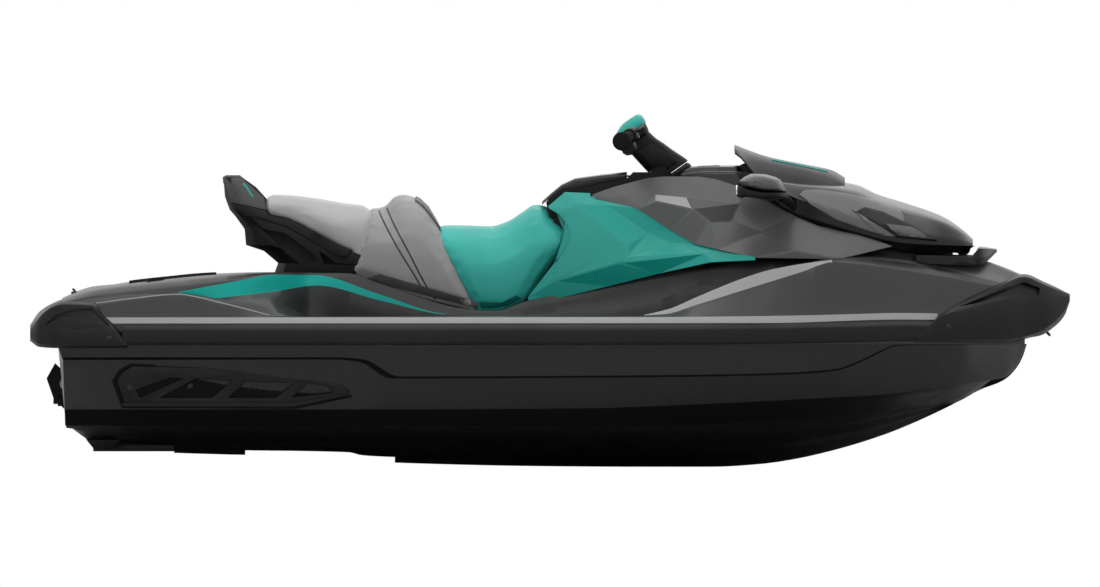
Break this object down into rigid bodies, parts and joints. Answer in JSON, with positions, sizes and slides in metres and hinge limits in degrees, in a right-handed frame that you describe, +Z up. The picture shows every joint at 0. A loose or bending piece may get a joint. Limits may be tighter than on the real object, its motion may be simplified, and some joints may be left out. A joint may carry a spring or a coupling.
{
  "type": "personal watercraft",
  "caption": "Sit-on jet-driven watercraft with stepped seats, handlebar steering, bonnet over a storage bin, footwells, bumpers, grab handle and a steerable jet pump with a reverse gate.",
  "frame": {"origin": "on the centreline at mid-length, at the waterline of the empty craft", "axes": "+X forward to the bow, +Y to port, +Z up"},
  "size_m": [3.32, 1.255, 1.1233],
  "materials": {
    "hull_gelcoat": "semi-gloss moulded hull",
    "deck_shell": "semi-gloss moulded deck",
    "bumper": "satin black bumper",
    "black_plastic": "textured black plastic",
    "gloss_black": "polished black",
    "teal_shell": "gloss teal shell",
    "grey_metallic": "metallic grey lacquer",
    "vinyl_silver": "silver-grey marine vinyl",
    "vinyl_teal": "teal marine vinyl",
    "mat": "ribbed foam mat",
    "alloy": "satin cast aluminium",
    "steel": "stainless steel",
    "engine": "engine mass, closed inside",
    "smoked": "smoked windscreen",
    "liner": "moulded liner"
  },
  "bodies": {
    "craft": {"hull": "hull_gelcoat", "deck": "deck_shell", "engine_block": "engine", "rub_rails": "bumper", "bow_bumper": "bumper", "stern_bumper": "bumper", "sponsons": "black_plastic", "ride_plate": "alloy", "intake_grate": "alloy", "pump_housing": "alloy", "shaft_carrier": "steel", "footwell_mats": "mat", "platform_mat": "mat", "accessory_anchors": "black_plastic", "stern_tow_eye": "steel", "bow_eye": "steel", "drain_plugs": "black_plastic", "foredeck_lip": "gloss_black", "tail_shell": "black_plastic", "passenger_seat": "vinyl_silver", "middle_seat": "vinyl_silver", "driver_seat": "vinyl_teal", "console": "teal_shell", "glove_box_bin": "liner", "glove_box_hinge": "steel", "inner_moulding": "liner", "storage_bin": "liner", "side_fairings": "grey_metallic", "dash": "black_plastic", "gauge": "gloss_black", "bonnet_hinge": "steel", "steering_boot": "black_plastic"},
    "impeller": {"impeller": "steel", "drive_shaft": "steel"},
    "nozzle": {"steering_nozzle": "black_plastic"},
    "gate": {"reverse_gate": "black_plastic"},
    "steering": {"steering_neck": "black_plastic", "handlebar": "steel", "grips": "mat", "switches_and_levers": "black_plastic", "handlebar_pad": "teal_shell"},
    "bonnet": {"bonnet": "gloss_black", "windscreen": "smoked", "mirrors": "grey_metallic"},
    "glove_lid": {"glove_box_lid": "gloss_black"}
  },
  "joints": [
    {"name": "impeller_spin", "type": "hinge", "parent": "craft", "child": "impeller", "pos_m": [-1.283, 0, 0.01474], "axis": [1, 0, 0], "continuous": true},
    {"name": "steering", "type": "hinge", "parent": "craft", "child": "steering", "pos_m": [0.37669, 0, 0.68138], "axis": [-0.5736, 0, 0.8192], "range_deg": [-20, 20]},
    {"name": "nozzle_steer", "type": "hinge", "parent": "craft", "child": "nozzle", "pos_m": [-1.48442, 0, 0.01474], "axis": [0, 0, 1], "range_deg": [-20, 20]},
    {"name": "gate_lift", "type": "hinge", "parent": "craft", "child": "gate", "pos_m": [-1.54508, 0, 0.01474], "axis": [0, 1, 0], "range_deg": [-15, 40]},
    {"name": "bonnet_open", "type": "hinge", "parent": "craft", "child": "bonnet", "pos_m": [1.31842, 0, 0.44853], "axis": [0, 1, 0], "range_deg": [0, 50]},
    {"name": "glove_lid_open", "type": "hinge", "parent": "craft", "child": "glove_lid", "pos_m": [0.27135, 0, 0.67819], "axis": [0, 1, 0], "range_deg": [0, 35]}
  ],
  "couplings": [
    {"joint": "nozzle_steer", "follows": "steering", "ratio": -1}
  ]
}
